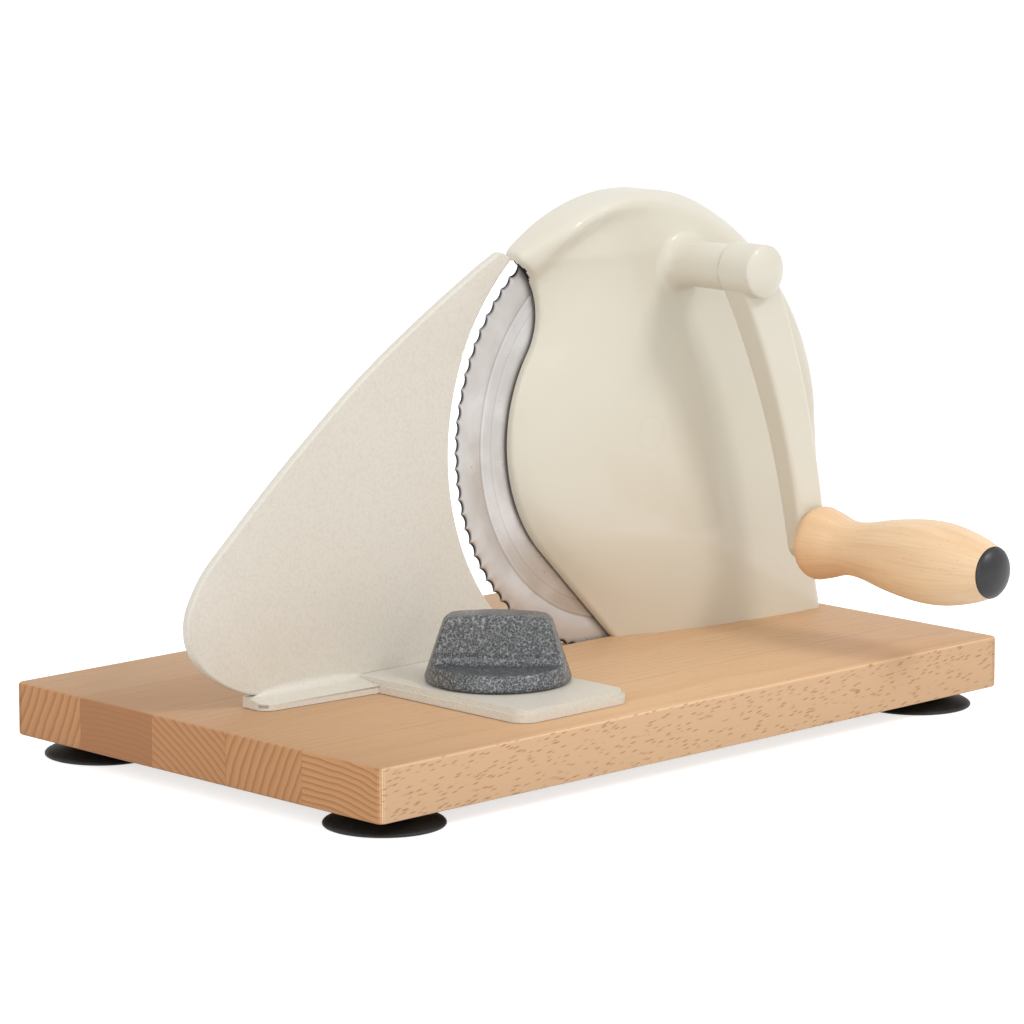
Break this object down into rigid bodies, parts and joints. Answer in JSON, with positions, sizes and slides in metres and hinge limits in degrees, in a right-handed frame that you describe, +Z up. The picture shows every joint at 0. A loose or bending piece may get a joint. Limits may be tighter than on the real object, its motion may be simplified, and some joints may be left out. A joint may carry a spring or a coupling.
{
  "type": "hand cranked bread slicer",
  "caption": "Hand cranked bread slicer: a wooden board on suction feet, a geared round blade in a cast housing, and a knob that sets the sliding stop plate.",
  "frame": {"origin": "centre of the footprint, board and grip together, on the table under the feet", "axes": "+X along the board's long side, towards the housing; +Y from the crank's side to the loaf's side; +Z up"},
  "size_m": [0.35, 0.2578, 0.2158],
  "materials": {
    "oiled_beech": "glued beech staves, oiled, fine flecks",
    "foot_rubber": "matt black rubber",
    "cream_enamel": "smooth cream enamel, half gloss",
    "plate_enamel": "cream enamel over a fine grain, low gloss",
    "blade_steel": "turned and polished steel with faint rings",
    "gear_steel": "machined steel, lightly greased",
    "zinc_steel": "zinc plated steel",
    "dark_steel": "blackened steel",
    "bush_bronze": "sintered bronze",
    "waxed_beech": "turned beech, clear varnish",
    "grip_cap_plastic": "dark grey, half gloss",
    "hammered_grey": "grey hammered enamel with fine speckle"
  },
  "bodies": {
    "base": {"board": "oiled_beech", "foot_front_left": "foot_rubber", "foot_front_right": "foot_rubber", "foot_back_left": "foot_rubber", "foot_back_right": "foot_rubber", "foot_screws": "zinc_steel", "housing": "cream_enamel", "housing_screws": "zinc_steel", "housing_washers": "zinc_steel", "blade_axle": "gear_steel", "blade_screw": "blade_steel", "blade_washer": "zinc_steel", "crank_bush_front": "bush_bronze", "crank_bush_rear": "bush_bronze", "guide_bush": "bush_bronze", "guide_pin": "gear_steel"},
    "blade": {"blade": "blade_steel", "blade_gear": "gear_steel", "gear_rivets": "zinc_steel"},
    "crank": {"crank_shaft": "gear_steel", "crank_pinion": "gear_steel", "thrust_washer": "zinc_steel", "crank_arm": "cream_enamel", "crank_set_screw": "dark_steel", "grip_spindle": "zinc_steel", "grip_washer": "zinc_steel", "grip_nut": "zinc_steel"},
    "grip": {"grip": "waxed_beech", "grip_cap": "grip_cap_plastic"},
    "stop": {"stop_plate": "plate_enamel", "follower_pin": "gear_steel"},
    "knob": {"knob": "hammered_grey", "knob_stud": "zinc_steel", "knob_washer": "zinc_steel", "knob_nut": "zinc_steel"}
  },
  "joints": [
    {"name": "crank_turn", "type": "hinge", "parent": "base", "child": "crank", "pos_m": [0.0828, 0, 0.18538], "axis": [0, 1, 0], "continuous": true},
    {"name": "blade_turn", "type": "hinge", "parent": "base", "child": "blade", "pos_m": [0.0643, 0, 0.1158], "axis": [0, 1, 0], "continuous": true},
    {"name": "grip_spin", "type": "hinge", "parent": "crank", "child": "grip", "pos_m": [0.12317, -0.08, 0.06814], "axis": [0, 1, 0], "continuous": true},
    {"name": "knob_turn", "type": "hinge", "parent": "base", "child": "knob", "pos_m": [-0.052, -0.0201, 0.029], "axis": [0, 0, 1], "range_deg": [0, 300]},
    {"name": "stop_slide", "type": "slide", "parent": "base", "child": "stop", "axis": [0, -1, 0], "range_m": [0, 0.015]}
  ],
  "couplings": [
    {"joint": "blade_turn", "follows": "crank_turn", "ratio": -0.33333},
    {"joint": "knob_turn", "follows": "stop_slide", "rad_per_m": 349.07}
  ]
}
